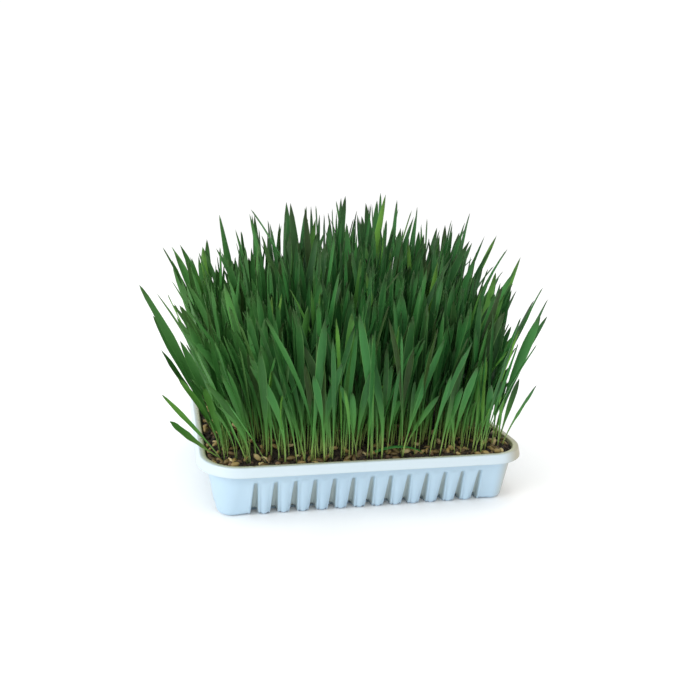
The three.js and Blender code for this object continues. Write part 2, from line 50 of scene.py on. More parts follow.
# Driving sizes, the tray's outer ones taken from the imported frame
tray_low, tray_high = (np.array(corner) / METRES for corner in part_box("tray"))
TRAY_LENGTH, TRAY_DEPTH, TRAY_HEIGHT = tray_high - tray_low
SHEET = 0.9
CORNER_RADIUS = 29.0
SKIRT_HEIGHT = 6.4
SKIRT_FLARE = 1.7
LIP_INNER_INSET = 6.2
BOTTOM_INSET = 13.3
BOTTOM_RADIUS = 10.0
FLUTE_PITCH = 13.36
FLUTE_TOP = 26.2
FLUTE_DEPTH = 6.0
FLUTES_LONG = 13
FLUTES_SHORT = 11
SOIL_TOP = 37.4

# The stand's rule, the same as the frame's
TUFT_COLUMNS, TUFT_ROWS = 8, 5
CELL_WIDTH, CELL_DEPTH = 26.4, 29.4
MAT_TOP = SOIL_TOP + 0.5
SEEDLINGS = 10
ROOT_LANES = 5
ROOT_PITCH = (11.0, 4.9)
ROOT_SCATTER = (3.2, 1.2)
LEAF_STATIONS = (0.0, 0.24, 0.52, 0.78, 1.0)
LEAF_WIDTHS = (0.26, 0.34, 0.96, 0.84, 0.0)
LEAF_WIDTH = (5.0, 8.2)
LEAF_BOW = (1.2, 2.2)
WANDER = 24.0
TWIST = 1.3
HEIGHT_BY_ROW = ((60, 118), (86, 134), (98, 148), (108, 161), (117, 176))
LOWER_AT_LEFT, LOWER_AT_RIGHT = 0.34, 0.1
LEAN_HEIGHT = 150.0
LEAN_HALF = (104.0, 72.0)
LEAN_POWER = 1.5
LEAN = {"left": (44, 12), "right": (17, 12), "front": 10, "back": 12}
OUTER_EXTRA = {"left": (16, 6), "right": (14, 12), "front": 14, "back": 12}
CLEARANCE = 1.9
TEST_STEP = 9
MOST_TRIES = 60
LATE_TRIES = 21
DRAWS = 16
LATE_HEIGHT = (16, 34)
TALLEST = 200
STRAY_TWIST = 0.3

# Seedlings that leave the stand: tuft, root from the mat's middle, shift, height, width, facing, bow
STRAYS = (
    (0, (-9.2, -9.4), (-38, -9), 50, 3.4, 0.4, 1.1),
    (0, (-9.4, -5.4), (-33, -4), 29, 6.0, 0.7, 0.9),
    (0, (-9.2, 2.4), (-51, 10), 113, 6.6, 0.5, 1.3),
    (8, (-9.2, -9.5), (-43, -2), 92, 6.8, 0.3, 1.2),
    (8, (-9.2, -3.5), (-38, -4), 68, 5.8, 0.8, 1.1),
    (7, (9.2, -9.2), (20, -4), 48, 4.6, 0.2, 1.3),
    (7, (9.2, -3.4), (8, -5), 52, 4.2, -0.5, 1.2),
    (7, (5.2, -10.4), (-4, -3), 64, 5.4, 0.1, 1.5),
    (7, (9.0, 3.6), (29, -3), 109, 4.8, 0.2, 1.6),
    (15, (9.2, -8.0), (26, -6), 105, 6.0, 0.3, 1.6),
    (1, (-6.0, -10.4), (-12, -38), 86, 6.0, 0.3, 1.4),
    (2, (4.0, -10.4), (3, -34), 76, 5.4, -0.2, 1.5),
    (5, (5.0, -10.4), (6, -39), 90, 5.8, 0.2, 1.4),
    (6, (-4.0, -10.4), (-3, -33), 72, 5.2, -0.3, 1.5),
)

# The leaf fallen along the front rim
FALLEN_FROM = (-4, -69.4, -1.2)
FALLEN_PEAK = (18, -74.6, 7.2)
FALLEN_TIP = (38, -76.6, 1.6)

rng = np.random.default_rng(27)


def chance(number, draw):
    """Fraction of 43758.5453 sin(12.9898 number + 78.233 draw): the frame's own seeded draw."""
    wave = np.sin(number * 12.9898 + draw * 78.233) * 43758.5453
    return wave - np.floor(wave)


def between(low, high, share):
    """Straight mix of two values."""
    return low + (high - low) * share


def smooth(low, high, value):
    """Smooth step: 3t^2 - 2t^3 of the share of value from low to high."""
    share = np.clip((value - low) / (high - low), 0.0, 1.0)
    return share * share * (3.0 - 2.0 * share)


# Meshes

def grid_faces(rows, columns):
    """Quads between rows of points that each close on themselves, wound so that they face out."""
    i, j = (part.ravel() for part in np.meshgrid(np.arange(rows - 1), np.arange(columns), indexing="ij"))
    j_next = (j + 1) % columns
    corners = (i * columns + j, i * columns + j_next, (i + 1) * columns + j_next, (i + 1) * columns + j)
    return np.stack(corners, axis=-1)


def square_to(across, ahead):
    """Directions across, made square to those ahead and one long."""
    across = across - (across * ahead).sum(-1, keepdims=True) * ahead
    return across / np.linalg.norm(across, axis=-1, keepdims=True)


def fan_faces(ring, pole, outward_first=True):
    """Triangles from each edge of a closed ring to a pole."""
    after = np.roll(ring, -1)
    pair = (ring, after) if outward_first else (after, ring)
    return np.stack([*pair, np.full_like(ring, pole)], axis=-1)


def make_mesh_piece(name, points, face_sets, material, smooth_faces=True, sharp=None, values=None):
    """Mesh piece at the origin from points in millimetres and sets of equal-sided faces."""
    mesh = bpy.data.meshes.new(name)
    mesh.vertices.add(len(points))
    mesh.vertices.foreach_set("co", (np.asarray(points, dtype=float) * METRES).ravel())
    sizes = np.concatenate([np.full(len(faces), faces.shape[1]) for faces in face_sets])
    loops = np.concatenate([faces.ravel() for faces in face_sets])
    mesh.loops.add(len(loops))
    mesh.loops.foreach_set("vertex_index", loops.astype(np.int32))
    mesh.polygons.add(len(sizes))
    starts = np.concatenate([[0], np.cumsum(sizes)[:-1]])
    mesh.polygons.foreach_set("loop_start", starts.astype(np.int32))
    mesh.polygons.foreach_set("use_smooth", np.full(len(sizes), smooth_faces))
    mesh.update(calc_edges=True)
    mesh.validate()
    for label, numbers in (values or {}).items():
        attribute = mesh.attributes.new(label, "FLOAT", "POINT")
        attribute.data.foreach_set("value", np.asarray(numbers, dtype=np.float32))
    if sharp is not None:
        ends = np.empty(2 * len(mesh.edges), dtype=np.int32)
        mesh.edges.foreach_get("vertices", ends)
        is_sharp = sharp[ends[0::2]] & sharp[ends[1::2]]
        edge_mark = mesh.attributes.new("sharp_edge", "BOOLEAN", "EDGE")
        edge_mark.data.foreach_set("value", is_sharp)
    mesh.materials.append(material)
    piece = bpy.data.objects.new(name, mesh)
    bpy.context.scene.collection.objects.link(piece)
    return piece


# Tray

CORNER_STEPS = 12
FLUTE_MOUTH = (3.3, 1.9)
FLUTE_BED = (1.5, 0.5)
FLUTE_MARGIN = (4.6, 3.0)
FLUTE_TOP_DEPTH = 2.2
ACROSS_FLUTE = np.array([-1.3, -1.0, -0.82, -0.6, -0.38, -0.16, 0.0, 0.16, 0.38, 0.6, 0.82, 1.0, 1.3])
RIB_SHARES = np.array([0.2, 0.5, 0.8])
RIB_CROWN = np.array([0.05, 0.14, 0.05])
RIB_EDGE_DROP = 0.14
FOOT_ROUND = 3.2
FOOT_RISE = 2.8
LIP_UNDER = TRAY_HEIGHT - SHEET
UNDERSIDE = (BOTTOM_INSET + 8.6, 3.0, 0.0, 0.0)
SKIRT_FOOT = TRAY_HEIGHT - SKIRT_HEIGHT


def wall_inset(z):
    """Straight taper of the wall from its foot to the lip."""
    return between(BOTTOM_INSET, LIP_INNER_INSET - 1.0, z / (TRAY_HEIGHT - 1.0))


def wall_radius(z):
    """Corner radius, growing straight with height, so that the corners flare."""
    return between(BOTTOM_RADIUS, CORNER_RADIUS - LIP_INNER_INSET + 1.0, z / (TRAY_HEIGHT - 1.0))


def flute_depth(z):
    """Quick rise under a groove's round top, then a straight slope to full depth at the foot."""
    below = np.clip((FLUTE_TOP - z) / FLUTE_TOP, 0.0, 1.0)
    top = FLUTE_TOP_DEPTH * np.sqrt(np.clip((FLUTE_TOP - z) / 2.0, 0.0, 1.0))
    return top + (FLUTE_DEPTH - FLUTE_TOP_DEPTH) * below


def side_columns(half, inset, radius, share, flutes):
    """Places along one side and how deep each lies in its groove, from 0 to 1.

    The columns follow the grooves: they spread with a groove's half width, which narrows with
    share, the height as a share of the groove's top. The depth is one in the bed and falls to
    zero at the mouth by a smooth step. Between grooves it is RIB_EDGE_DROP at a rib's edges and
    below zero by RIB_CROWN over its middle, so that the rib is round.
    """
    run = half - inset - radius
    mouth = between(*FLUTE_MOUTH, share)
    bed = between(*FLUTE_BED, share)
    limit = run - between(*FLUTE_MARGIN, share)
    pitch = min(FLUTE_PITCH, 2 * limit / (flutes - 1))
    middles = (np.arange(flutes) - (flutes - 1) / 2) * pitch
    places = middles[:, None] + mouth * ACROSS_FLUTE[None, :]
    gap = places[1:, 0] - places[:-1, -1]
    ribs = places[:-1, -1, None] + gap[:, None] * RIB_SHARES[None, :]
    ribs = np.vstack([ribs, np.full((1, len(RIB_SHARES)), np.nan)])
    along = np.hstack([places, ribs]).ravel()
    keep = ~np.isnan(along)
    offset = np.abs(mouth * ACROSS_FLUTE)
    sunk = 1.0 - smooth(bed, mouth, offset)
    sunk = np.hstack([np.tile(sunk, (flutes, 1)), np.zeros((flutes, len(RIB_SHARES)))]).ravel()
    crown = np.zeros((flutes, len(ACROSS_FLUTE) + len(RIB_SHARES)))
    crown[:, len(ACROSS_FLUTE):] = RIB_CROWN
    crown[:, [0, len(ACROSS_FLUTE) - 1]] = -RIB_EDGE_DROP
    return along[keep], (sunk - crown.ravel())[keep]


def wall_ring(z, inset, radius, depth=0.0, share=1.0, inward=0.0, rise=0.0):
    """One level of the tray and how deep its points lie in a groove.

    A rounded rectangle whose sides carry the grooves' columns. A groove's points move in by
    depth and up by rise, each times their share of its depth.
    """
    halves = (TRAY_LENGTH / 2, TRAY_DEPTH / 2, TRAY_LENGTH / 2, TRAY_DEPTH / 2)
    counts = (FLUTES_LONG, FLUTES_SHORT, FLUTES_LONG, FLUTES_SHORT)
    ring, in_groove = [], []
    for side in range(4):
        half, across = halves[side], halves[(side + 1) % 4]
        reference = (wall_inset(share * FLUTE_TOP), wall_radius(share * FLUTE_TOP))
        along, sunk = side_columns(half, *reference, share, counts[side])
        run = half - inset - radius
        reference_run = half - sum(reference)
        along = along * min(1.0, run / reference_run)
        out = across - inset - inward - depth * sunk
        angle = (side - 1) * np.pi / 2
        turn = np.linspace(0.0, np.pi / 2, CORNER_STEPS + 1)
        round_radius = max(0.5, radius - inward)
        corner_along = half - inset - inward - round_radius + round_radius * np.sin(turn)
        corner_out = across - inset - inward - round_radius + round_radius * np.cos(turn)
        a = np.concatenate([along, corner_along])
        o = np.concatenate([out, corner_out])
        outward = (np.cos(angle), np.sin(angle))
        ahead = (-np.sin(angle), np.cos(angle))
        ring.append(np.stack([
            a * ahead[0] + o * outward[0],
            a * ahead[1] + o * outward[1],
            z + rise * np.concatenate([np.clip(sunk, 0.0, 1.0), np.zeros_like(turn)]),
        ], axis=-1))
        in_groove.append(np.concatenate([sunk, np.zeros_like(turn)]) * depth / FLUTE_DEPTH)
    return np.concatenate(ring), np.concatenate(in_groove)


def tray_profile():
    """Levels from the underside's middle out, up the wall, round lip and skirt, and down inside."""
    heights = np.array([4.2, 7, 10, 13, 16, 18.5, 20.8, 22.6, 24, 24.9, 25.4, 25.8, 26.1, FLUTE_TOP])
    levels = []

    def fluted(z, inward, rise=0.0):
        """A level of the wall that carries the grooves."""
        share = np.clip(z / FLUTE_TOP, 0.0, 1.0)
        levels.append((z, wall_inset(z), wall_radius(z), flute_depth(z), share, inward, rise))

    def plain(z, inset, radius=None):
        """A level with no grooves."""
        radius = CORNER_RADIUS - inset if radius is None else radius
        levels.append((z, inset, radius))

    def foot(thickness, angle):
        """A level on the quarter circle that rounds the foot, at a thickness from the outside."""
        round_radius = FOOT_ROUND - thickness
        z = thickness + round_radius * (1 - np.cos(angle))
        rise = FOOT_RISE * (1 - z / heights[0])
        fluted(z, thickness + round_radius * (1 - np.sin(angle)), rise)

    levels.append((0.0, *UNDERSIDE))
    for angle in np.linspace(0.0, 0.5, 5) * np.pi:
        foot(0.0, angle)
    for z in heights:
        fluted(z, 0.0)
    for z in (28.5, 31.0, 33.0, 35.5, 37.4):
        plain(z, wall_inset(z), wall_radius(z))
    plain(LIP_UNDER - 0.2, wall_inset(37.8) - 0.3)
    plain(LIP_UNDER, wall_inset(37.8) - 0.9)
    plain(LIP_UNDER, SKIRT_FLARE + SHEET + 0.6)
    plain(LIP_UNDER - 0.3, SKIRT_FLARE + SHEET + 0.1)
    for share in np.linspace(0.12, 1.0, 5):
        plain(between(LIP_UNDER - 0.3, SKIRT_FOOT + 0.3, share), between(SKIRT_FLARE, 0.12, share) + SHEET)
    plain(SKIRT_FOOT + 0.05, SHEET - 0.1)
    plain(SKIRT_FOOT, SHEET / 2)
    plain(SKIRT_FOOT + 0.05, 0.12)
    plain(SKIRT_FOOT + 0.3, 0.0)
    for share in (0.2, 0.4, 0.6, 0.8, 0.93):
        plain(between(SKIRT_FOOT + 0.3, TRAY_HEIGHT - 0.9, share), between(0.0, SKIRT_FLARE - 0.25, share))
    for angle in np.linspace(0.25, 1.0, 4) * np.pi / 2:
        plain(TRAY_HEIGHT - 0.9 + 0.9 * np.sin(angle), SKIRT_FLARE - 0.2 + 0.9 * (1 - np.cos(angle)))
    plain(TRAY_HEIGHT - 0.02, LIP_INNER_INSET - 1.6)
    for angle in np.linspace(0.25, 1.0, 4) * np.pi / 2:
        plain(TRAY_HEIGHT - 0.02 - 1.0 * (1 - np.cos(angle)), LIP_INNER_INSET - 1.2 + 1.0 * np.sin(angle))
    plain(37.0, wall_inset(37.0) + SHEET, wall_radius(37.0) - SHEET)
    plain(33.0, wall_inset(33.0) + SHEET, wall_radius(33.0) - SHEET)
    plain(28.5, wall_inset(28.5) + SHEET, wall_radius(28.5) - SHEET)
    for z in heights[::-1]:
        fluted(z, SHEET)
    for angle in (0.33 * np.pi, 0.0):
        foot(SHEET, angle)
    levels.append((SHEET, *UNDERSIDE))
    return levels


def make_tray(material):
    """One closed sheet: the profile's levels joined ring by ring, and a fan at both middles."""
    levels = tray_profile()
    rings, in_groove = zip(*(wall_ring(*level) for level in levels))
    columns = len(rings[0])
    points = np.concatenate([*rings, [[0, 0, 0], [0, 0, SHEET]]])
    rows = len(rings)
    first, last = np.arange(columns), (rows - 1) * columns + np.arange(columns)
    faces = grid_faces(rows, columns)
    fans = np.concatenate([
        fan_faces(first, rows * columns, outward_first=False),
        fan_faces(last, rows * columns + 1),
    ])
    level_z, level_inset = np.array([level[:2] for level in levels]).T
    at_rim = smooth(1.5, LIP_INNER_INSET - 1.4, level_inset) * (level_z > TRAY_HEIGHT - 2.8)
    rim_edge = np.append(np.repeat(at_rim, columns), [0.0, 0.0])
    return make_mesh_piece(
        "ribbed_tray", points, [faces, fans], material,
        values={"in_groove": np.append(np.concatenate(in_groove), [0.0, 0.0]), "rim_edge": rim_edge},
    )


# Soil, crumbs and grains

SOIL_RINGS = 84
CRUMBS = 2600
EDGE_CRUMBS = 1500
CRUMB_SIDES = 5
CRUMB_ROWS = np.array([-0.62, 0.1, 0.66])
GRAINS = 520
GRAIN_HALF_SIZE = np.array([3.1, 1.5, 1.35])
GRAIN_SIZE_SPREAD = np.array([0.9, 0.4, 0.35])
GRAIN_ROWS = np.linspace(-0.92, 0.92, 7)
GRAIN_SIDES = 8
WALL_STRIP = 14.0
SOIL_FLOOR = 1.5


def lumps(x, y):
    """Sum of a few sine waves of falling length: the soil's uneven top."""
    wave = 0.9 * np.sin(x * 0.31 + 1.3) * np.cos(y * 0.27 - 0.4) + 0.5 * np.sin(x * 0.13 - y * 0.19)
    wave = wave + 0.7 * np.sin(x * 0.83 + 2.0 * np.sin(y * 0.61)) * np.sin(y * 0.77 + 1.7 * np.cos(x * 0.47))
    return wave + 0.35 * np.sin(x * 1.9 + 3 * np.sin(y * 1.3)) * np.sin(y * 2.1 + 2 * np.sin(x * 1.1))


def soil_height(x, y):
    """Soil's top: lumps, a little lower near the wall."""
    edge = np.maximum(np.abs(x) / (TRAY_LENGTH / 2), np.abs(y) / (TRAY_DEPTH / 2))
    return SOIL_TOP + 0.3 + 0.8 * lumps(x, y) - 1.3 * np.clip(edge - 0.84, 0.0, 1.0) * 8.0


def make_soil(material):
    """A filled block: rings scaled from the middle to the wall, then down the wall to the floor."""
    outline = wall_ring(0.0, wall_inset(36.0) + 1.3, wall_radius(36.0) - 1.3)[0][:, :2]
    shares = np.linspace(0.0, 1.0, SOIL_RINGS + 1)[1:]
    top = shares[:, None, None] * outline[None, :, :]
    height = soil_height(top[..., 0], top[..., 1])
    rings = [np.dstack([top, height]).reshape(-1, 3)]
    for z, inset, radius in (
        (FLUTE_TOP + 1.0, wall_inset(FLUTE_TOP) + 1.4, wall_radius(FLUTE_TOP) - 1.4),
        (FLUTE_TOP - 0.5, wall_inset(FLUTE_TOP) + 3.8, wall_radius(FLUTE_TOP) - 3.8),
        (SOIL_FLOOR, BOTTOM_INSET + 8.7, 3.0),
    ):
        rings.append(wall_ring(z, inset, radius)[0])
    columns = len(outline)
    rows = SOIL_RINGS + 3
    middle_height = soil_height(np.array(0.0), np.array(0.0))
    points = np.concatenate(rings + [[[0, 0, float(middle_height)], [0, 0, SOIL_FLOOR]]])
    faces = grid_faces(rows, columns)[:, ::-1]
    first, last = np.arange(columns), (rows - 1) * columns + np.arange(columns)
    fans = np.concatenate([
        fan_faces(first, rows * columns),
        fan_faces(last, rows * columns + 1, outward_first=False),
    ])
    return make_mesh_piece("growing_soil", points, [faces, fans], material)


def scattered_in_tray(count, edge_share):
    """Plan places on the soil: a share of them within WALL_STRIP of the wall, the rest further in."""
    half = np.array([TRAY_LENGTH, TRAY_DEPTH]) / 2 - wall_inset(37.0) - 1.6
    place = (rng.random((count * 3, 2)) * 2 - 1) * half
    corner = CORNER_RADIUS - 7.0
    over = np.maximum(np.abs(place) - (half - corner), 0.0)
    place = place[np.hypot(over[:, 0], over[:, 1]) < corner - 0.5]
    near = (half - np.abs(place)).min(axis=1) < WALL_STRIP
    edge_count = int(count * edge_share)
    return np.concatenate([place[near][:edge_count], place[~near][:count - edge_count]])


def many_spindles(count, rows, sides):
    """Faces of many equal closed shapes: rings of sides, with a pole at each end."""
    points = rows * sides
    fans = np.concatenate([
        fan_faces(np.arange(sides), points, outward_first=False),
        fan_faces(np.arange(points - sides, points), points + 1),
    ])
    return repeated([grid_faces(rows, sides), fans], count, points + 2)


def repeated(face_sets, count, each):
    """Faces of one shape, repeated for shapes whose points follow one another."""
    steps = (np.arange(count) * each)[:, None, None]
    return [(faces[None] + steps).reshape(-1, faces.shape[1]) for faces in face_sets]


def make_crumbs(material):
    """Small lumps of soil: five-sided balls with each point pushed in or out at random."""
    place = np.concatenate([scattered_in_tray(CRUMBS, 0.4), scattered_in_tray(EDGE_CRUMBS, 1.0)])
    count = len(place)
    size = 0.5 + 1.5 * rng.random(count) ** 2.2
    turn = np.linspace(0, 2 * np.pi, CRUMB_SIDES + 1)[:-1]
    rows = CRUMB_ROWS[:, None]
    around = np.sqrt(1 - rows ** 2)
    unit = np.stack([
        around * np.cos(turn + 0.3 * rows),
        around * np.sin(turn + 0.3 * rows),
        np.broadcast_to(rows, (len(rows), CRUMB_SIDES)),
    ], axis=-1).reshape(-1, 3)
    unit = np.concatenate([unit, [[0, 0, -1], [0, 0, 1]]])
    rough = 1 + 0.34 * (rng.random((count, len(unit))) - 0.5)
    stretch = 0.7 + 0.6 * rng.random((count, 1, 3))
    shapes = unit[None] * rough[..., None] * stretch * size[:, None, None]
    spin = rng.random(count) * 2 * np.pi
    x = shapes[..., 0] * np.cos(spin)[:, None] - shapes[..., 2] * np.sin(spin)[:, None]
    z = shapes[..., 0] * np.sin(spin)[:, None] + shapes[..., 2] * np.cos(spin)[:, None]
    lift = soil_height(place[:, 0], place[:, 1]) + size * 0.35
    points = np.stack([x + place[:, :1], shapes[..., 1] + place[:, 1:], z + lift[:, None]], axis=-1)
    faces = many_spindles(count, len(CRUMB_ROWS), CRUMB_SIDES)
    tone = np.repeat(rng.random(count), len(unit))
    return make_mesh_piece(
        "soil_crumbs", points.reshape(-1, 3), faces, material, values={"crumb_tone": tone},
    )


def make_grains(material):
    """Husked grains: spindles of radius (1 - t^2)^0.55, a little flat, with a crease along one side."""
    place = scattered_in_tray(GRAINS, 0.5)
    count = len(place)
    along = GRAIN_ROWS[:, None]
    turn = np.linspace(0, 2 * np.pi, GRAIN_SIDES + 1)[:-1]
    radius = (1 - along ** 2) ** 0.55 * (1 + 0.12 * along)
    crease = 1 - 0.32 * np.exp(-((turn - np.pi / 2) / 0.5) ** 2)
    unit = np.stack([
        np.broadcast_to(along, (len(along), GRAIN_SIDES)),
        radius * (np.cos(turn) * crease),
        radius * (np.sin(turn) * crease),
    ], axis=-1).reshape(-1, 3)
    unit = np.concatenate([unit, [[-1.04, 0, 0], [1.1, 0, 0]]])
    size = GRAIN_HALF_SIZE + GRAIN_SIZE_SPREAD * rng.random((count, 3))
    shapes = unit[None] * size[:, None, :]
    tilt = (rng.random(count) - 0.35) * 1.5 * (rng.random(count) < 0.5) + 0.2 * (rng.random(count) - 0.5)
    spin, roll = rng.random(count) * 2 * np.pi, rng.random(count) * 2 * np.pi
    y = shapes[..., 1] * np.cos(roll)[:, None] - shapes[..., 2] * np.sin(roll)[:, None]
    z = shapes[..., 1] * np.sin(roll)[:, None] + shapes[..., 2] * np.cos(roll)[:, None]
    x = shapes[..., 0] * np.cos(tilt)[:, None] - z * np.sin(tilt)[:, None]
    z = shapes[..., 0] * np.sin(tilt)[:, None] + z * np.cos(tilt)[:, None]
    lift = soil_height(place[:, 0], place[:, 1]) + 0.9 + 1.6 * np.abs(np.sin(tilt))
    points = np.stack([
        x * np.cos(spin)[:, None] - y * np.sin(spin)[:, None] + place[:, :1],
        x * np.sin(spin)[:, None] + y * np.cos(spin)[:, None] + place[:, 1:],
        z + lift[:, None],
    ], axis=-1)
    half = np.array([TRAY_LENGTH, TRAY_DEPTH]) / 2 - wall_inset(37.0) - 1.4
    points[..., 0] = np.clip(points[..., 0], -half[0], half[0])
    points[..., 1] = np.clip(points[..., 1], -half[1], half[1])
    faces = many_spindles(count, len(GRAIN_ROWS), GRAIN_SIDES)
    length_share = np.tile(unit[:, 0], count)
    tone = np.repeat(rng.random(count), len(unit))
    return make_mesh_piece(
        "wheat_grains", points.reshape(-1, 3), faces, material,
        values={"grain_tone": tone, "grain_along": length_share},
    )


# Seedlings of the frame, grown again by its rule

FIELDS = ("x", "y", "shift_x", "shift_y", "height", "width", "facing", "twist", "bow")


def depth_share(y):
    """Where a place is from the stand's front edge, 0, to its back edge, 1."""
    return np.clip(0.5 + y / (2 * LEAN_HALF[1]), 0.0, 1.0)


def lean_out(x, y):
    """Outward shift at LEAN_HEIGHT: the side's value times (place / half)^LEAN_POWER, signed."""
    depth = depth_share(y)
    left, right = between(*LEAN["left"], depth), between(*LEAN["right"], depth)
    lean_x = np.sign(x) * np.abs(x / LEAN_HALF[0]) ** LEAN_POWER * np.where(x < 0, left, right)
    front_or_back = np.where(y < 0, LEAN["front"], LEAN["back"])
    lean_y = np.sign(y) * np.abs(y / LEAN_HALF[1]) ** LEAN_POWER * front_or_back
    return lean_x, lean_y


def draw_seedling(tuft, number, attempt):
    """One try at a seedling of a tuft, as a row of FIELDS."""
    row, column = divmod(tuft, TUFT_COLUMNS)
    tuft_x = (column - (TUFT_COLUMNS - 1) / 2) * CELL_WIDTH
    tuft_y = (row - (TUFT_ROWS - 1) / 2) * CELL_DEPTH
    draw = chance(tuft * SEEDLINGS + number, np.arange(DRAWS) + DRAWS * attempt)
    lane = ((number % 2) - 0.5, number // 2 - (ROOT_LANES - 1) / 2)
    x = tuft_x + lane[0] * ROOT_PITCH[0] + ROOT_SCATTER[0] * (2 * draw[1] - 1)
    y = tuft_y + lane[1] * ROOT_PITCH[1] + ROOT_SCATTER[1] * (2 * draw[2] - 1)
    edge = (tuft_x / LEAN_HALF[0]) ** 2 * (LOWER_AT_LEFT if tuft_x < 0 else LOWER_AT_RIGHT)
    late = attempt >= MOST_TRIES
    height = between(*(LATE_HEIGHT if late else HEIGHT_BY_ROW[row]), draw[3]) * (1 if late else 1 - edge)
    share = height / LEAN_HEIGHT
    lean = list(lean_out(x, y))
    extra = draw[4] ** 2
    depth = depth_share(y)
    if column == 0:
        lean[0] -= between(*OUTER_EXTRA["left"], depth) * extra
    if column == TUFT_COLUMNS - 1:
        lean[0] += between(*OUTER_EXTRA["right"], depth) * extra
    if row == 0:
        lean[1] -= OUTER_EXTRA["front"] * extra
    if row == TUFT_ROWS - 1:
        lean[1] += OUTER_EXTRA["back"] * extra
    wander = (WANDER * (draw[5] + draw[6] - 1), WANDER * (draw[7] + draw[8] - 1))
    return np.array([
        x, y, share * (lean[0] + wander[0]), share * (lean[1] + wander[1]), height,
        between(*LEAF_WIDTH, draw[9]) * min(1, 0.3 + height / 130),
        np.pi * (draw[10] - 0.5) + (np.pi if draw[11] < 0.4 else 0.0),
        TWIST * (draw[12] - 0.5), between(*LEAF_BOW, draw[13]),
    ])


def sections_of(seedling, slots):
    """Centre, turn and half width at every TEST_STEP of height, empty above the tip."""
    x, y, shift_x, shift_y, height, width, facing, twist, bow = seedling
    share = np.arange(slots) * TEST_STEP / height
    share = np.where(share <= 1.0, share, np.nan)
    bowed = share ** bow
    half = width * np.interp(share, LEAF_STATIONS, LEAF_WIDTHS) / 2
    turn = facing + twist * share
    ends = np.stack([np.cos(turn), np.sin(turn)], -1) * half[:, None]
    middle = np.stack([x + shift_x * bowed, y + shift_y * bowed], -1)
    return middle, half, middle - ends, middle + ends


def toward_line(p, q, r):
    """Distance from p to the line from q to r."""
    run = r - q
    along = ((p - q) * run).sum(-1) / ((run * run).sum(-1) + 1e-9)
    return np.linalg.norm(p - q - np.clip(along, 0, 1)[..., None] * run, axis=-1)


def side_of(p, q, r):
    """Positive where r lies to the left of the line from p to q."""
    ahead, aside = q - p, r - p
    return ahead[..., 0] * aside[..., 1] - ahead[..., 1] * aside[..., 0]


def is_clear(new, kept):
    """True where no kept section is nearer than CLEARANCE to the new one at the same height."""
    middle, half, low, high = new
    others_middle, others_half, others_low, others_high = kept
    apart = np.linalg.norm(others_middle - middle, axis=-1)
    near = apart < half + others_half + CLEARANCE
    if not near.any():
        return True
    which, at = np.nonzero(near)
    a, b = low[at], high[at]
    c, d = others_low[which, at], others_high[which, at]
    crosses = (side_of(a, b, c) * side_of(a, b, d) < 0) & (side_of(c, d, a) * side_of(c, d, b) < 0)
    gap = np.minimum.reduce([
        toward_line(a, c, d), toward_line(b, c, d), toward_line(c, a, b), toward_line(d, a, b),
    ])
    return not (crosses | (gap < CLEARANCE)).any()


def grow_stand():
    """All seedlings of the frame and each one's tuft: strays first, then each redrawn until clear."""
    slots = int(TALLEST / TEST_STEP)
    room = len(STRAYS) + TUFT_COLUMNS * TUFT_ROWS * SEEDLINGS
    kept = [np.full((room, slots, 2), np.nan), np.full((room, slots), np.nan)]
    kept += [np.full((room, slots, 2), np.nan) for _ in range(2)]
    rows, tufts = [], []

    def keep(seedling, tuft, sections):
        """Add a seedling to those that later ones must be clear of."""
        for store, part in zip(kept, sections):
            store[len(rows)] = part
        rows.append(seedling)
        tufts.append(tuft)

    for tuft, root, shift, height, width, facing, bow in STRAYS:
        row, column = divmod(tuft, TUFT_COLUMNS)
        x = (column - (TUFT_COLUMNS - 1) / 2) * CELL_WIDTH + root[0]
        y = (row - (TUFT_ROWS - 1) / 2) * CELL_DEPTH + root[1]
        seedling = np.array([x, y, *shift, height, width, facing, STRAY_TWIST, bow])
        keep(seedling, tuft, sections_of(seedling, slots))
    for tuft in range(TUFT_COLUMNS * TUFT_ROWS):
        for number in range(SEEDLINGS):
            for attempt in range(MOST_TRIES + LATE_TRIES):
                seedling = draw_seedling(tuft, number, attempt)
                sections = sections_of(seedling, slots)
                if is_clear(sections, [store[:len(rows)] for store in kept]):
                    keep(seedling, tuft, sections)
                    break
    return np.array(rows), np.array(tufts)


# Blades

STATIONS = np.array([0.0, 0.08, 0.17, 0.26, 0.35, 0.44, 0.53, 0.62, 0.7, 0.78, 0.86, 0.93, 0.975])
WIDTH_CURVE = ((0.0, 0.13, 0.24, 0.34, 0.44, 0.56, 0.68, 0.8, 0.9, 0.96, 1.0),
               (0.2, 0.2, 0.24, 0.38, 0.62, 0.86, 1.0, 0.97, 0.74, 0.42, 0.0))
BLADE_THICKNESS = 0.42
STEM_THICKNESS = 1.3
PARTING = (0.2, 0.4)
FREE_WANDER = 44.0
FREE_WIDTH = (2.8, 7.0)
FILLING, FRONT_FILLING = 900, 64
FILLING_HALF_WIDTH = 103
FILLING_STRIP = (-60, 74)
FRONT_STRIP = (-80.0, -69.0)
FRONT_LEAN = 26.0
FILLING_HEIGHT = (0.74, 0.94)
OUTER_FROM = (79, 44)
SECOND_LEAVES = 0.5
FALLEN_HALF_WIDTH = 2.1


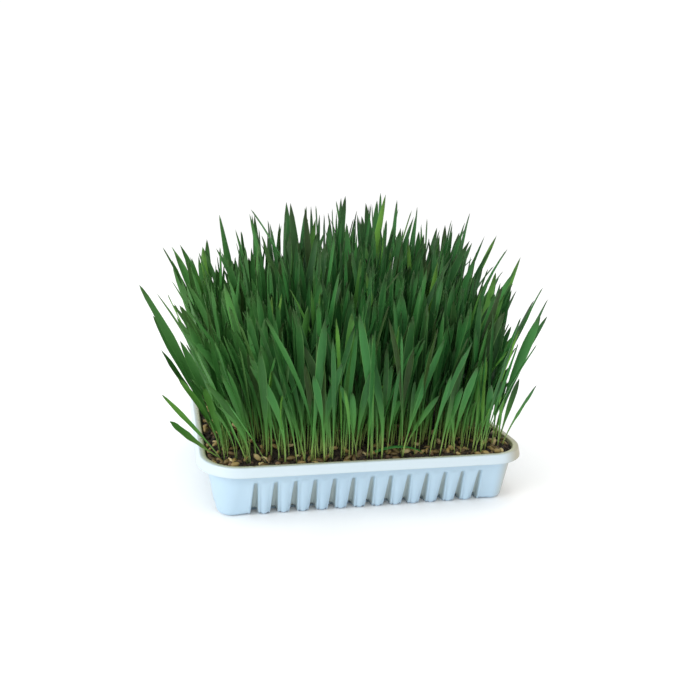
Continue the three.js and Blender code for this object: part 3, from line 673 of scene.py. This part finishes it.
def raise_blades(blades, rising):
    """Points of every blade: four corners at each station, and a tip.

    The middle line is root + shift share^bow, plus the parting's own shift times its share^1.7.
    A section is two halves that fold back from both edges to a keel, thin in the blade and
    round as a straw in the stem. blades has a row of FIELDS each; rising has each one's start
    height, parting shift and top height.
    """
    x, y, shift_x, shift_y, height, width, facing, twist, bow = blades.T[:, :, None]
    start, part_x, part_y, top = rising.T[:, :, None]
    share = STATIONS[None, :]
    full = np.append(STATIONS, 1.0)[None, :]

    z = start + (top - start) * full
    bowed = np.clip(z / height, 0.0, 1.25) ** bow
    away = full ** 1.7
    line = np.stack([x + shift_x * bowed + part_x * away, y + shift_y * bowed + part_y * away, z], -1)
    line[..., 2] += MAT_TOP
    ahead = np.gradient(line, axis=1)
    ahead /= np.linalg.norm(ahead, axis=-1, keepdims=True)
    middle, ahead = line[:, :-1], ahead[:, :-1]
    turn = facing + twist * share
    across = np.stack([np.cos(turn), np.sin(turn), np.zeros_like(turn)], -1)
    across = square_to(across, ahead)
    back = np.cross(ahead, across)
    half = width * np.interp(share, *WIDTH_CURVE) / 2
    stem = 1 - smooth(0.18, 0.4, share)
    fold = half * 0.34 * (1 - stem)
    thick = between(BLADE_THICKNESS, np.minimum(STEM_THICKNESS, 1.7 * half), stem)
    ripple = 0.05 * width * np.sin(share * 23 + facing * 9) * (1 - stem)
    corners = [
        middle - across * half[..., None] + back * (ripple[..., None]),
        middle + back * (fold - thick * 0.5 * stem)[..., None],
        middle + across * half[..., None] - back * (ripple[..., None]),
        middle + back * (fold + thick * (1 - 0.5 * stem))[..., None],
    ]
    rings = np.stack(corners, axis=2)
    count = len(blades)
    return np.concatenate([rings.reshape(count, -1, 3), line[:, -1:]], axis=1)


def make_blades(name, blades, rising, material):
    """Closed blades of four corners a station, one tip and one foot face each."""
    points = raise_blades(blades, rising)
    count, each = points.shape[:2]
    rows = len(STATIONS)
    quads = grid_faces(rows, 4)
    foot = np.array([[3, 2, 1, 0]])
    tip = fan_faces(np.arange(4) + (rows - 1) * 4, each - 1)
    tone = np.repeat(rng.random(count), each)
    along = np.tile(np.append(np.repeat(STATIONS, 4), 1.0), count)
    across = np.tile(np.append(np.tile([-1.0, 0.0, 1.0, 0.0], rows), 0.0), count)
    sharp = np.abs(across) > 0.5
    above = points[..., 2].ravel() - SOIL_TOP
    return make_mesh_piece(
        name, points.reshape(-1, 3), repeated([np.concatenate([quads, foot]), tip], count, each),
        material, sharp=sharp,
        values={"blade_tone": tone, "blade_along": along, "blade_across": across, "above_soil": above},
    )


def second_leaves(seedlings, share_kept):
    """A second leaf that parts from each seedling's stem and leans its own way."""
    kept = seedlings[(rng.random(len(seedlings)) < share_kept) & (seedlings[:, 4] > 60)].copy()
    count = len(kept)
    height = kept[:, 4].copy()
    start = height * between(*PARTING, rng.random(count))
    top = height * between(0.6, 0.98, rng.random(count))
    away = rng.random(count) * 2 * np.pi
    reach = (top - start) * between(0.1, 0.42, rng.random(count))
    kept[:, 5] *= between(0.5, 0.85, rng.random(count))
    kept[:, 6] = away + np.pi / 2 + 0.5 * (rng.random(count) - 0.5)
    kept[:, 7] = 1.2 * (rng.random(count) - 0.5)
    return kept, np.stack([start, reach * np.cos(away), reach * np.sin(away), top], -1)


def filling_seedlings(count, front_count):
    """More seedlings between the frame's own, by the same lean and heights, drawn freely."""
    total = count + front_count
    x = (rng.random(total) * 2 - 1) * FILLING_HALF_WIDTH
    y = between(*FILLING_STRIP, rng.random(count))
    y = np.append(y, between(*FRONT_STRIP, rng.random(front_count)))
    inside = 101 - 8 * smooth(52, 72, np.abs(y)) - 8 * smooth(70, 80, np.abs(y))
    x = np.clip(x, -inside, inside - 6)
    row = np.clip(np.round(y / CELL_DEPTH + (TUFT_ROWS - 1) / 2).astype(int), 0, TUFT_ROWS - 1)
    low, high = np.array(HEIGHT_BY_ROW).T
    edge = (np.abs(x) / LEAN_HALF[0]) ** 2 * np.where(x < 0, LOWER_AT_LEFT, LOWER_AT_RIGHT)
    low, high = low[row] * FILLING_HEIGHT[0], high[row] * FILLING_HEIGHT[1]
    height = between(low, high, rng.random(total)) * (1 - 0.85 * edge)
    height = height * np.where((rng.random(total) > 0.96) & (x > -45), 1.12, 1.0)
    share = height / LEAN_HEIGHT
    lean_x, lean_y = lean_out(x, y)
    depth = depth_share(y)
    extra = rng.random(total) ** 2
    outer = np.abs(x) > OUTER_FROM[0]
    lean_x = lean_x - np.where(outer & (x < 0), between(*OUTER_EXTRA["left"], depth) * extra, 0)
    lean_x = lean_x + np.where(outer & (x > 0), between(*OUTER_EXTRA["right"], depth) * extra, 0)
    lean_y = lean_y - np.where(y < -OUTER_FROM[1], OUTER_EXTRA["front"] * extra, 0)
    lean_y = lean_y + np.where(y > OUTER_FROM[1], OUTER_EXTRA["back"] * extra, 0)
    front = smooth(-40, -70, y)
    lean_x = lean_x - FRONT_LEAN * front * smooth(0, 80, -x)
    spread = FREE_WANDER * (1 + 0.4 * front) * (rng.random((2, total)) + rng.random((2, total)) - 1)
    width = between(*FREE_WIDTH, rng.random(total) ** 1.4) * np.minimum(1, 0.3 + height / 130)
    bow = between(1.05, LEAF_BOW[1], rng.random(total) ** 1.5)
    return np.stack([
        x, y, share * (lean_x + spread[0]), share * (lean_y + spread[1]), height,
        width, rng.random(total) * 2 * np.pi, TWIST * (rng.random(total) - 0.5), bow,
    ], -1)


def whole(seedlings):
    """Blades that rise from the soil to their own height, with no parting."""
    zero = np.zeros(len(seedlings))
    return np.stack([zero, zero, zero, seedlings[:, 4]], -1)


def make_fallen_leaf(material):
    """Narrow blade along a bent line through three places, thin at its foot and acute at its tip."""
    ends = [np.array(place) + (0, 0, SOIL_TOP) for place in (FALLEN_FROM, FALLEN_PEAK, FALLEN_TIP)]
    share = np.append(np.linspace(0, 0.97, 17), 1.0)[:, None]
    bend = 2 * ends[1] - 0.5 * ends[0] - 0.5 * ends[2]
    line = (1 - share) ** 2 * ends[0] + 2 * share * (1 - share) * bend + share ** 2 * ends[2]
    ahead = np.gradient(line, axis=0)
    ahead /= np.linalg.norm(ahead, axis=-1, keepdims=True)
    turn = np.pi / 2 - 0.5 + 0.9 * share[:, 0]
    across = np.stack([np.zeros_like(turn), np.sin(turn), 0.5 * np.cos(turn)], -1)
    across = square_to(across, ahead)
    back = np.cross(ahead, across)
    half = FALLEN_HALF_WIDTH * np.interp(share[:, 0], (0, 0.3, 0.6, 0.85, 1), (0.62, 0.8, 1.0, 0.7, 0.0))
    rings = np.stack([
        line - across * half[:, None], line - back * 0.2,
        line + across * half[:, None], line + back * 0.6,
    ], axis=1)[:-1]
    rows = len(rings)
    points = np.concatenate([rings.reshape(-1, 3), line[-1:]])
    faces = np.concatenate([grid_faces(rows, 4), [[3, 2, 1, 0]]])
    tip = fan_faces(np.arange(4) + (rows - 1) * 4, len(points) - 1)
    along = np.append(np.repeat(share[:-1, 0], 4), 1.0)
    across_value = np.append(np.tile([-1.0, 0.0, 1.0, 0.0], rows), 0.0)
    return make_mesh_piece(
        "fallen_leaf", points, [faces, tip], material, sharp=np.abs(across_value) > 0.5,
        values={
            "blade_tone": np.full(len(points), 0.8), "blade_along": 0.3 + 0.5 * along,
            "blade_across": across_value, "above_soil": np.full(len(points), 45.0),
        },
    )


# Materials

def material_with(name, roughness):
    """A named material, its node tree and its shader, with the roughness set on the shader."""
    material = bpy.data.materials.new(name)
    material.use_nodes = True
    shader = material.node_tree.nodes["Principled BSDF"]
    shader.inputs["Roughness"].default_value = roughness
    return material, material.node_tree, shader


def add_node(tree, kind, inputs=None, **settings):
    """A shader node with its settings, and its inputs set to values or linked to sockets."""
    node = tree.nodes.new(kind)
    for label, value in settings.items():
        setattr(node, label, value)
    for label, value in (inputs or {}).items():
        if isinstance(value, bpy.types.NodeSocket):
            tree.links.new(value, node.inputs[label])
        else:
            node.inputs[label].default_value = value
    return node


def ramp(tree, fac, stops):
    """Colour ramp through named places and colours."""
    node = add_node(tree, "ShaderNodeValToRGB", {"Fac": fac})
    elements = node.color_ramp.elements
    while len(elements) < len(stops):
        elements.new(0.5)
    for element, (place, colour) in zip(elements, stops):
        element.position = place
        element.color = (*colour, 1.0)
    return node.outputs["Color"]


def mix_colours(tree, share, first, second, blend="MIX"):
    """Mix of two colours, as sockets or values, by a share."""
    node = add_node(tree, "ShaderNodeMix", data_type="RGBA", blend_type=blend)
    for index, value in ((0, share), (6, first), (7, second)):
        if isinstance(value, bpy.types.NodeSocket):
            tree.links.new(value, node.inputs[index])
        else:
            node.inputs[index].default_value = value if index == 0 else (*value, 1.0)
    return node.outputs[2]


def noise(tree, scale, detail=4.0, stretch=(1, 1, 1), rough=0.55):
    """Noise on Object coordinates in metres, stretched along the axes."""
    place = add_node(tree, "ShaderNodeTexCoord")
    mapping = add_node(tree, "ShaderNodeMapping", {"Vector": place.outputs["Object"], "Scale": stretch})
    node = add_node(tree, "ShaderNodeTexNoise", {
        "Vector": mapping.outputs["Vector"], "Scale": scale, "Detail": detail, "Roughness": rough,
    })
    return node.outputs["Fac"]


def attribute(tree, label):
    """A piece's own value that its points carry."""
    return add_node(tree, "ShaderNodeAttribute", attribute_name=label).outputs["Fac"]


def math(tree, operation, first, second=0.0):
    """Result of one operation on two values or sockets."""
    node = add_node(tree, "ShaderNodeMath", operation=operation)
    for index, value in ((0, first), (1, second)):
        if isinstance(value, bpy.types.NodeSocket):
            tree.links.new(value, node.inputs[index])
        else:
            node.inputs[index].default_value = value
    return node.outputs[0]


def span(tree, value, low, high):
    """Smooth share of a value from low to high."""
    node = add_node(tree, "ShaderNodeMapRange", {
        "Value": value, "From Min": low, "From Max": high,
    }, interpolation_type="SMOOTHSTEP")
    return node.outputs["Result"]


def bump(tree, shader, height, strength, distance):
    """Fine relief by a height socket, its distance in metres."""
    node = add_node(tree, "ShaderNodeBump", {"Height": height, "Strength": strength, "Distance": distance})
    tree.links.new(node.outputs["Normal"], shader.inputs["Normal"])


def blade_green():
    """Pale stem and green blade, lighter with its tone and at its edges, with painted light at the left end.
    """
    material, tree, shader = material_with("blade_green", 0.5)
    shader.inputs["Specular IOR Level"].default_value = 0.22
    tone = attribute(tree, "blade_tone")
    streak = noise(tree, 900.0, 3.0, (1, 1, 0.06))
    green = ramp(tree, tone, [
        (0.0, (0.030, 0.040, 0.012)), (0.1, (0.012, 0.055, 0.013)), (0.35, (0.017, 0.092, 0.021)),
        (0.65, (0.022, 0.13, 0.028)), (0.9, (0.048, 0.20, 0.046)), (1.0, (0.13, 0.31, 0.03)),
    ])
    streaked = mix_colours(tree, math(tree, "MULTIPLY", streak, 0.3), green, (0.06, 0.23, 0.05))
    across = math(tree, "ABSOLUTE", attribute(tree, "blade_across"))
    edge = math(tree, "MULTIPLY", span(tree, across, 0.8, 1.0), 0.4)
    edged = mix_colours(tree, edge, streaked, (0.16, 0.36, 0.10))
    tip = math(tree, "MULTIPLY", span(tree, attribute(tree, "blade_along"), 0.86, 1.0), 0.6)
    tipped = mix_colours(tree, tip, edged, (0.03, 0.045, 0.014))
    above = attribute(tree, "above_soil")
    stem = mix_colours(tree, span(tree, above, 2.0, 22.0), (0.24, 0.34, 0.09), (0.07, 0.22, 0.04))
    base = mix_colours(tree, span(tree, above, 14.0, 50.0), stem, tipped)
    # Painted light: towards the left end (Object X) the blades are mixed lighter and yellower, for the key
    # light that falls from the left.
    place = add_node(tree, "ShaderNodeTexCoord")
    parts = add_node(tree, "ShaderNodeSeparateXYZ", {"Vector": place.outputs["Object"]})
    painted_light_share = math(tree, "MULTIPLY", span(tree, parts.outputs["X"], -0.03, -0.13), 0.4)
    painted_lit_colour = mix_colours(tree, painted_light_share, base, (0.07, 0.21, 0.035))
    tree.links.new(painted_lit_colour, shader.inputs["Base Color"])
    bump(tree, shader, streak, 0.25, 0.0004)
    return material


def soil_brown():
    """Dark moist soil with lighter fibres and specks."""
    material, tree, shader = material_with("soil_brown", 0.9)
    grain = noise(tree, 420.0, 6.0, rough=0.7)
    colour = ramp(tree, grain, [
        (0.3, (0.008, 0.006, 0.004)), (0.5, (0.026, 0.018, 0.010)),
        (0.62, (0.06, 0.042, 0.022)), (0.75, (0.13, 0.09, 0.045)),
    ])
    tree.links.new(colour, shader.inputs["Base Color"])
    bump(tree, shader, grain, 0.8, 0.001)
    return material


def crumb_brown():
    """Loose crumbs, each with its own tone from near black to fibre brown."""
    material, tree, shader = material_with("crumb_brown", 0.92)
    tone = attribute(tree, "crumb_tone")
    grain = noise(tree, 700.0, 5.0, rough=0.7)
    colour = ramp(tree, tone, [
        (0.0, (0.008, 0.006, 0.004)), (0.5, (0.03, 0.02, 0.011)),
        (0.8, (0.07, 0.045, 0.022)), (0.95, (0.16, 0.10, 0.05)), (1.0, (0.3, 0.2, 0.1)),
    ])
    mixed = mix_colours(tree, math(tree, "MULTIPLY", grain, 0.5), colour, (0.012, 0.009, 0.006))
    tree.links.new(mixed, shader.inputs["Base Color"])
    bump(tree, shader, grain, 0.6, 0.0006)
    return material


def grain_husk():
    """Husk: yellow tan to brown by the grain's tone, streaked and darker at the ends."""
    material, tree, shader = material_with("grain_husk", 0.55)
    tone = attribute(tree, "grain_tone")
    streak = noise(tree, 800.0, 4.0)
    colour = ramp(tree, tone, [
        (0.0, (0.07, 0.045, 0.014)), (0.35, (0.18, 0.125, 0.035)),
        (0.75, (0.40, 0.29, 0.09)), (1.0, (0.74, 0.62, 0.30)),
    ])
    ends = span(tree, math(tree, "ABSOLUTE", attribute(tree, "grain_along")), 0.55, 1.1)
    dark = mix_colours(tree, math(tree, "MULTIPLY", ends, 0.6), colour, (0.05, 0.028, 0.012))
    mixed = mix_colours(tree, math(tree, "MULTIPLY", streak, 0.45), dark, (0.06, 0.035, 0.014))
    tree.links.new(mixed, shader.inputs["Base Color"])
    bump(tree, shader, streak, 0.4, 0.0004)
    return material


def tray_plastic():
    """Thin blue-white sheet: painted shade greys the grooves and tans the right front end, the lip and skirt
    are painted lighter than the wall, and the lip's top carries painted shade with soil dust.
    """
    material, tree, shader = material_with("tray_plastic", 0.34)
    shader.inputs["IOR"].default_value = 1.49
    place = add_node(tree, "ShaderNodeTexCoord")
    parts = add_node(tree, "ShaderNodeSeparateXYZ", {"Vector": place.outputs["Object"]})
    height = parts.outputs["Z"]
    cloud = noise(tree, 22.0, 3.0)
    wall = mix_colours(tree, cloud, (0.42, 0.575, 0.71), (0.48, 0.64, 0.75))
    # Painted shade: the sheet is mixed toward dim grey-olive by how deep each point lies in a groove, for the
    # shade that falls in the grooves.
    groove_painted_shade = mix_colours(
        tree, math(tree, "MULTIPLY", span(tree, attribute(tree, "in_groove"), 0.05, 0.55), 0.8),
        wall, (0.36, 0.41, 0.38))
    # Painted light: above the skirt's foot, about 33 mm up, the lip and skirt are mixed paler and whiter than
    # the wall below.
    body = mix_colours(tree, span(tree, height, 0.0325, 0.0335), groove_painted_shade, (0.55, 0.65, 0.71))
    # Painted shade: the right front end is mixed toward warm tan, where that end of the tray turns away from
    # the light.
    shaded_end = math(
        tree, "MULTIPLY", span(tree, parts.outputs["X"], 0.092, 0.110),
        span(tree, parts.outputs["Y"], 0.0, -0.06))
    right_end_painted_shade = mix_colours(tree, math(tree, "MULTIPLY", shaded_end, 0.9), body, (0.33, 0.29, 0.17))
    # The lip's top: an olive-beige band that is partly painted shade and partly soil dust, then darker soil
    # dust specks by noise.
    rim = attribute(tree, "rim_edge")
    dust = noise(tree, 240.0, 5.0)
    lip_shade_and_dust = mix_colours(tree, math(tree, "MULTIPLY", rim, 0.85), right_end_painted_shade, (0.45, 0.46, 0.27))
    speckled = mix_colours(
        tree, math(tree, "MULTIPLY", rim, span(tree, dust, 0.58, 0.7)), lip_shade_and_dust, (0.2, 0.15, 0.08))
    tree.links.new(speckled, shader.inputs["Base Color"])
    fine = noise(tree, 160.0, 2.0)
    bump(tree, shader, fine, 0.08, 0.0006)
    return material


def floor_white():
    """Plain matt white."""
    material, _, shader = material_with("floor_white", 0.9)
    shader.inputs["Base Color"].default_value = (0.97, 0.97, 0.97, 1.0)
    return material


# Camera, light and floor

CAMERA_PLACE = (-138.584, -502.536, 228.122)
CAMERA_YAW, CAMERA_PITCH, CAMERA_ROLL = 0.26996, 0.25094, 0.05834
LENS, SENSOR = 36.0, 36.0
SKY_STRENGTH = 1.06
LIGHT_AIM = Vector((0.0, 0.0, 0.08))
FLOOR_HALF = 6000.0
FLOOR_DROP = 0.05


def place_camera():
    """Camera by yaw to the right of +Y, pitch below the horizon and roll about its line of sight."""
    ahead = np.array([
        np.sin(CAMERA_YAW) * np.cos(CAMERA_PITCH), np.cos(CAMERA_YAW) * np.cos(CAMERA_PITCH),
        -np.sin(CAMERA_PITCH),
    ])
    level = np.array([np.cos(CAMERA_YAW), -np.sin(CAMERA_YAW), 0.0])
    up = np.cross(level, ahead)
    right = np.cos(CAMERA_ROLL) * level + np.sin(CAMERA_ROLL) * up
    top = -np.sin(CAMERA_ROLL) * level + np.cos(CAMERA_ROLL) * up
    camera = bpy.data.objects.new("camera", bpy.data.cameras.new("camera"))
    bpy.context.scene.collection.objects.link(camera)
    camera.data.sensor_width = SENSOR
    camera.data.lens = LENS
    camera.data.clip_start, camera.data.clip_end = 0.01, 20.0
    turned = Matrix(np.stack([right, top, -ahead], axis=1).tolist()).to_4x4()
    turned.translation = [value * METRES for value in CAMERA_PLACE]
    camera.matrix_world = turned
    bpy.context.scene.camera = camera


def soft_light(name, place, size, power, colour):
    """A square soft box that faces the stand's middle."""
    lamp = bpy.data.lights.new(name, "AREA")
    lamp.size, lamp.energy, lamp.color = size, power, colour
    holder = bpy.data.objects.new(name, lamp)
    bpy.context.scene.collection.objects.link(holder)
    holder.location = place
    holder.rotation_mode = "QUATERNION"
    holder.rotation_quaternion = (LIGHT_AIM - Vector(place)).to_track_quat("-Z", "Y")


def light_studio():
    """Even white sky and two soft boxes, the stronger one at the left front."""
    world = bpy.data.worlds.new("studio")
    bpy.context.scene.world = world
    world.use_nodes = True
    sky = world.node_tree.nodes["Background"]
    sky.inputs["Color"].default_value = (1.0, 1.0, 1.0, 1.0)
    sky.inputs["Strength"].default_value = SKY_STRENGTH
    soft_light("key_box", (-0.95, -0.5, 0.55), 0.45, 5.2, (1.0, 0.99, 0.97))
    soft_light("top_box", (0.1, 0.1, 1.2), 0.6, 2.6, (1.0, 1.0, 1.0))
    bpy.context.scene.view_settings.view_transform = "Standard"
    bpy.context.scene.view_settings.look = "None"


def make_floor(material):
    """A wide plain sheet under the tray's feet."""
    corners = np.array([[-1, -1], [1, -1], [1, 1], [-1, 1]]) * FLOOR_HALF
    points = np.column_stack([corners, np.full(4, -FLOOR_DROP)])
    return make_mesh_piece("floor", points, [np.array([[0, 1, 2, 3]])], material, smooth_faces=False)


place_camera()
light_studio()

tray = make_tray(tray_plastic())
soil = make_soil(soil_brown())
crumbs = make_crumbs(crumb_brown())
grains = make_grains(grain_husk())

green = blade_green()
seedlings, tuft_of = grow_stand()
tuft_row = tuft_of // TUFT_COLUMNS
blade_rows = [
    make_blades(f"blades_row_{row + 1}", seedlings[tuft_row == row], whole(seedlings[tuft_row == row]), green)
    for row in range(TUFT_ROWS)
]
filling = filling_seedlings(FILLING, FRONT_FILLING)
filling_blades = make_blades("filling_blades", filling, whole(filling), green)
parting = second_leaves(np.concatenate([seedlings, filling]), SECOND_LEAVES)
partings = make_blades("parting_leaves", *parting, green)
fallen = make_fallen_leaf(green)

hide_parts("tray")
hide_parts("soil")
for row, piece in enumerate(blade_rows):
    first = row * TUFT_COLUMNS + 1
    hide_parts(*[f"wheatgrass_tuft_{number:02d}" for number in range(first, first + TUFT_COLUMNS)])
for piece, slot in (
    (tray, "tray"), (soil, "soil"), (crumbs, "soil"), (grains, "grass"), (fallen, "grass"),
    (filling_blades, "grass"), (partings, "grass"), *((piece, "grass") for piece in blade_rows),
):
    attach(piece, "root")
make_floor(floor_white())
